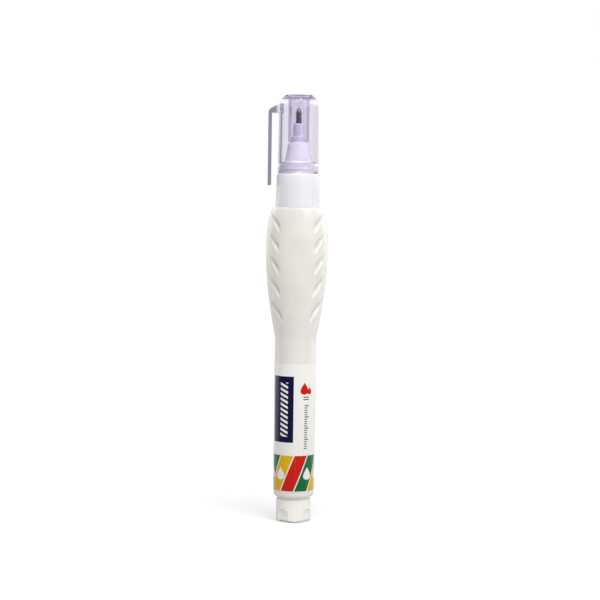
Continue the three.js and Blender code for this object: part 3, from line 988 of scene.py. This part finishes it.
def spring_line():
    """Points along the middle of the wire. Its end turns lie close, and those between are evenly open."""
    low = spring_low.z + spring_wire / 2
    high = spring_high.z - spring_wire / 2
    close_pitch = 1.08 * spring_wire
    open_pitch = (high - low - 2 * closed_turns * close_pitch) / (spring_turns - 2 * closed_turns)
    points = []
    for i in range(spring_turns * steps_per_turn + 1):
        turns = i / steps_per_turn
        open_turns = min(max(turns - closed_turns, 0), spring_turns - 2 * closed_turns)
        height = low + (turns - open_turns) * close_pitch + open_turns * open_pitch
        points.append(round_place(coil_radius, height, math.tau * turns))
    return points


wire = bmesh.new()
wire_rings = []
for point in spring_line():
    outward = Vector((point.x, point.y, 0)).normalized()
    ring = []
    for i in range(wire_sides):
        angle = math.tau * i / wire_sides
        offset = outward * math.cos(angle) + Vector((0, 0, 1)) * math.sin(angle)
        ring.append(wire.verts.new((point + offset * spring_wire / 2) * mm))
    wire_rings.append(ring)
join_rings(wire, wire_rings)
wire.faces.new(wire_rings[0])
wire.faces.new(wire_rings[-1])
bmesh.ops.recalc_face_normals(wire, faces=wire.faces)
spring = new_piece("spring", wire)
shade(spring.data)
spring.data.materials.append(steel_finish("spring_wire", 0.28, 0.8))
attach(spring, "barrel_assembly")
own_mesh(spring)
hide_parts("valve_spring")

# Needle carrier: the polypropylene plunger of the valve. Its stem fills the spring, its flange takes the
# spring's push, and its coned nose closes the way to the tip.
carrier_low, carrier_high = in_mm("needle_carrier")
carrier_stem = 0.85
carrier_flange = 1.6
flange_bottom = carrier_low.z + 4
flange_top = flange_bottom + 0.8
carrier_nose_radius = 0.6
carrier_socket = 0.4
socket_floor = flange_bottom - 2.1

carrier_outline = rounded(
    [
        (0, carrier_low.z),
        (carrier_stem, carrier_low.z, 0.2),
        (carrier_stem, flange_bottom, 0.1),
        (carrier_flange, flange_bottom, 0.12),
        (carrier_flange, flange_top, 0.12),
        (carrier_nose_radius, carrier_high.z, 0.06),
        (carrier_socket, carrier_high.z),
        (carrier_socket, socket_floor),
        (0, socket_floor),
    ]
)
carrier = turned("carrier", carrier_outline, sides=80)
carrier.data.materials.append(valve_finish)
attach(carrier, "valve_needle")
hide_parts("needle_carrier")

# Needle: a drawn steel pin, set in the carrier's socket. Its rounded end stands half a millimetre out of
# the tip's mouth, and pressing it in opens the valve.
needle_low, needle_high = in_mm("needle_pin")
needle_radius = 0.3

needle_outline = rounded(
    [
        (0, needle_low.z),
        (needle_radius, needle_low.z, 0.06),
        (needle_radius, needle_high.z, 0.28),
        (0, needle_high.z),
    ],
    8,
)
needle = turned("needle", needle_outline, sides=48)
needle.data.materials.append(steel_finish("needle_steel", 0.16, 0.7))
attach(needle, "valve_needle")
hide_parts("needle_pin")

# Nozzle: one polypropylene moulding, snapped over the barrel's neck. Its collar shows below the cap, its
# spigot holds the cap, and its cone rises to a sealing land and a thin holder for the metal tip.
collar_bore = 5.95
collar_radius = 7.25
collar_top_radius = 6.87
deck = neck_top + 0.1
collar_top = deck + 2.8
spigot_radius = 5.45
spigot_top = collar_top + 3.9
spigot_bead = 0.12
spigot_bead_half = 0.3
spigot_bead_up = 1.6
cone_base_radius = 4.5
cone_top_radius = 3.3
cone_top = spigot_top + 6.3
land_radius = 2.4
land_top = cone_top + 1.9
holder_radius = 1.85
holder_draft = 0.1
holder_bore = 1.1
ferrule_low, ferrule_high = in_mm("tip_ferrule")
seat_hole_radius = 0.7
holder_floor = ferrule_low.z - 0.1
valve_seat = holder_floor - 1.9
chamber_radius = 3.2
chamber_top_radius = 2.0
skirt_radius = 4.6
skirt_bore = 3.7
skirt_bottom = deck - 5.2

nozzle_outline = rounded(
    [
        (collar_radius, shoulder, 0.06),
        (collar_top_radius, collar_top, 0.35),
        (spigot_radius, collar_top, 0.15),
        (spigot_radius, collar_top + spigot_bead_up - spigot_bead_half),
        (spigot_radius + spigot_bead, collar_top + spigot_bead_up, 0.15),
        (spigot_radius, collar_top + spigot_bead_up + spigot_bead_half),
        (spigot_radius, spigot_top, 0.35),
        (cone_base_radius, spigot_top, 0.4),
        (cone_top_radius, cone_top, 0.3),
        (land_radius, cone_top, 0.2),
        (land_radius, land_top, 0.3),
        (holder_radius, land_top, 0.2),
        (holder_radius - holder_draft, nozzle_high.z, 0.25),
        (holder_bore, nozzle_high.z, 0.08),
        (holder_bore, holder_floor),
        (seat_hole_radius, holder_floor),
        (seat_hole_radius, valve_seat),
        (chamber_top_radius, valve_seat - 1.1, 0.2),
        (chamber_radius, spigot_top, 0.3),
        (chamber_radius, seat_top),
        (skirt_bore, seat_top),
        (skirt_bore, skirt_bottom, 0.15),
        (skirt_radius, skirt_bottom, 0.15),
        (skirt_radius, deck, 0.2),
        (collar_bore, deck, 0.2),
        (collar_bore, shoulder, 0.2),
    ]
)
nozzle = turned("nozzle", nozzle_outline, sides=192)
nozzle_white = linear(240, 238, 244)
nozzle_shade = linear(236, 234, 240)
nozzle_finish = moulded_finish(
    "cool_white_polypropylene",
    nozzle_white,
    nozzle_shade,
    0.32,
    6000,
    0.005,
    Subsurface_Weight=0.35,
    Subsurface_Radius=(1, 1, 1),
    Subsurface_Scale=1.5 * mm,
)
nozzle.data.materials.append(nozzle_finish)
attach(nozzle, "barrel_assembly")
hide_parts("nozzle_collar")

# Tip ferrule: a turned and nickelled metal sleeve, pressed into the holder. Two shallow rings are cut
# round it, and its mouth tapers to a thin edge round the needle.
ferrule_radius = 1.0
ferrule_bore = 0.42
ferrule_mouth = 0.54
ferrule_cone = 1.4
ferrule_ring_depth = 0.14
ferrule_ring_half = 0.26
ferrule_rings_up = (1.3, 2.5)

ferrule_corners = [(ferrule_radius, ferrule_low.z, 0.1)]
for up in ferrule_rings_up:
    ring = nozzle_high.z + up
    ferrule_corners += [
        (ferrule_radius, ring - ferrule_ring_half, 0.05),
        (ferrule_radius - ferrule_ring_depth, ring - ferrule_ring_half / 2, 0.1),
        (ferrule_radius - ferrule_ring_depth, ring + ferrule_ring_half / 2, 0.1),
        (ferrule_radius, ring + ferrule_ring_half, 0.05),
    ]
ferrule_corners += [
    (ferrule_radius, ferrule_high.z - ferrule_cone, 0.25),
    (ferrule_mouth, ferrule_high.z, 0.04),
    (ferrule_bore, ferrule_high.z, 0.03),
    (ferrule_bore, ferrule_low.z, 0.05),
]
ferrule = turned("ferrule", rounded(ferrule_corners), sides=96)
tip_light = linear(158, 156, 162)
tip_dark = linear(78, 76, 82)
ferrule.data.materials.append(steel_finish("nickelled_metal", 0.07, 1.0, tip_light, tip_dark))
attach(ferrule, "barrel_assembly")
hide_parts("tip_ferrule")

# Cap: clear lavender polystyrene, moulded in one with its clip and with an inner tube that closes on the
# nozzle's land. It pushes over the spigot and clicks past the spigot's bead.
cap_low, cap_high = in_mm("cap")
cap_bottom = collar_top + 0.1
cap_ceiling = cap_high.z - 1.3
cap_radius = cap_high.x
cap_top_radius = cap_radius - 0.2
cap_wall = 1.0
cap_bore = cap_radius - cap_wall
cap_bore_top = cap_top_radius - cap_wall
cap_bend_in = 0.17
cap_bend_down = 2.6
cap_edge_in = 0.67
cap_edge_down = 1.25
cap_crown_width = 2.07
cap_crown_height = 4.6
cap_lip = 0.15
cap_lead_in = 0.9
cap_click_up = 2.3
cap_click_depth = 0.1
cap_click_half = 0.35
cap_step_up = 3.6
cap_step_depth = 0.1
cap_tube_bore = land_radius + 0.1
cap_tube_radius = cap_tube_bore + 0.95
cap_tube_end = cone_top + 0.3
crown = rounded(
    [
        (cap_top_radius, cap_high.z - cap_crown_height),
        (cap_top_radius - cap_bend_in, cap_high.z - cap_bend_down, 1.0),
        (cap_top_radius - cap_edge_in, cap_high.z - cap_edge_down, 0.8),
        (cap_top_radius - cap_crown_width, cap_high.z, 0.4),
        (cap_top_radius - cap_crown_width - 0.5, cap_high.z),
        (0, cap_high.z),
    ],
    8,
)
cap_inside = rounded(
    [
        (0, cap_ceiling),
        (cap_tube_bore - 0.45, cap_ceiling),
        (cap_tube_bore, cap_ceiling, 0.35),
        (cap_tube_bore, cap_tube_end, 0.12),
        (cap_tube_radius, cap_tube_end, 0.25),
        (cap_tube_radius, cap_ceiling, 0.5),
        (cap_bore_top, cap_ceiling, 1.6),
        (cap_bore - cap_step_depth, cap_bottom + cap_step_up + 0.15, 0.1),
        (cap_bore, cap_bottom + cap_step_up, 0.05),
        (cap_bore, cap_bottom + cap_click_up + cap_click_half),
        (cap_bore - cap_click_depth, cap_bottom + cap_click_up, 0.15),
        (cap_bore, cap_bottom + cap_click_up - cap_click_half),
        (cap_bore, cap_bottom + cap_lead_in, 0.1),
        (cap_bore + 0.25, cap_bottom, 0.15),
        (cap_radius, cap_bottom, cap_lip),
        (cap_radius - 0.05, cap_bottom + 6),
    ]
)
cap = turned("clear_cap", [*cap_inside, *crown], sides=176)

clip_outer = cap_low.x
clip_thickness = 1.15
clip_inner = clip_outer + clip_thickness
clip_width = 4.6
clip_root_low = cap_high.z - 5.9
clip_root_top = cap_high.z - 2.8
clip_root_outer = cap_high.z - 4.4
clip_edge = 0.22
clip_buried = -(cap_bore + math.sqrt(cap_radius**2 - (clip_width / 2) ** 2)) / 2

clip_outline = rounded(
    [
        (clip_buried, clip_root_low),
        (clip_buried, clip_root_top),
        (clip_outer, clip_root_outer - 0.3, 1.3),
        (clip_outer, cap_low.z, 0.4),
        (clip_inner, cap_low.z, 0.4),
        (clip_inner, clip_root_low, 0.3),
    ],
    6,
)
arm = bmesh.new()
corners = []
for x, height in clip_outline:
    corners.append(arm.verts.new(Vector((x, -clip_width / 2, height)) * mm))
grown = bmesh.ops.extrude_face_region(arm, geom=[arm.faces.new(corners)])
moved = [item for item in grown["geom"] if isinstance(item, bmesh.types.BMVert)]
bmesh.ops.translate(arm, verts=moved, vec=(0, clip_width * mm, 0))
bmesh.ops.recalc_face_normals(arm, faces=arm.faces)
rims = [edge for edge in arm.edges if abs(edge.verts[0].co.y - edge.verts[1].co.y) < 0.1 * mm]
bmesh.ops.bevel(arm, geom=rims, offset=clip_edge * mm, segments=3, profile=0.5, affect="EDGES")
merge(cap, new_piece("clip", arm), "UNION")

# The plastic takes out a little more green than red or blue, so that long ways through it look violet.
# Light for the parts inside passes straight through, and so do rays caught between the cap's faces.
cap_absorbs = Vector((0.049, 0.062, 0.026))
cap_tint = (0.968, 0.958, 0.982, 1)
cap_lets_through = (0.95, 0.94, 0.975, 1)
# Painted shade: a grey tint for the clip, for the darker look that refraction gives its thick clear arm.
clip_painted_shade = linear(165, 164, 169)
absorb_density = max(cap_absorbs)

cap_finish, tree, shader = new_finish("clear_lavender_polystyrene", IOR=1.49, Transmission_Weight=1.0)
# The clip's arm is tinted grey here: painted shade, as it is the same clear plastic as the cap.
on_clip = ramp(tree, own_place(tree)["X"], -(cap_radius + 0.2) * mm, -(cap_radius + 0.9) * mm)
feed(tree, shader.inputs["Base Color"], paint(tree, cap_tint, clip_painted_shade, on_clip))
marks = place_effect(tree, handling, Size=1.3)
skin = place_effect(tree, moulded_skin, Grain=900, Waves=300)
roughen(tree, shader, marks, plain=0.015, rubbed=0.03, scratched=0.12)
emboss(tree, shader, skin["Height"], 0.004)
absorb = add(tree, "ShaderNodeVolumeAbsorption")
absorb.inputs["Color"].default_value = (*[1 - share / absorb_density for share in cap_absorbs], 1)
absorb.inputs["Density"].default_value = absorb_density / mm
let_through = add(tree, "ShaderNodeBsdfTransparent")
let_through.inputs["Color"].default_value = cap_lets_through
mix = add(tree, "ShaderNodeMixShader")
ray = add(tree, "ShaderNodeLightPath").outputs
caught = calc(tree, "GREATER_THAN", ray["Glossy Depth"], caught_reflections)
feed(tree, mix.inputs[0], calc(tree, "MAXIMUM", ray["Is Shadow Ray"], caught))
feed(tree, mix.inputs[1], shader.outputs[0])
feed(tree, mix.inputs[2], let_through.outputs[0])
output = tree.nodes["Material Output"]
feed(tree, output.inputs["Surface"], mix.outputs[0])
feed(tree, output.inputs["Volume"], absorb.outputs[0])
cap.data.materials.append(cap_finish)
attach(cap, "cap")
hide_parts("cap")
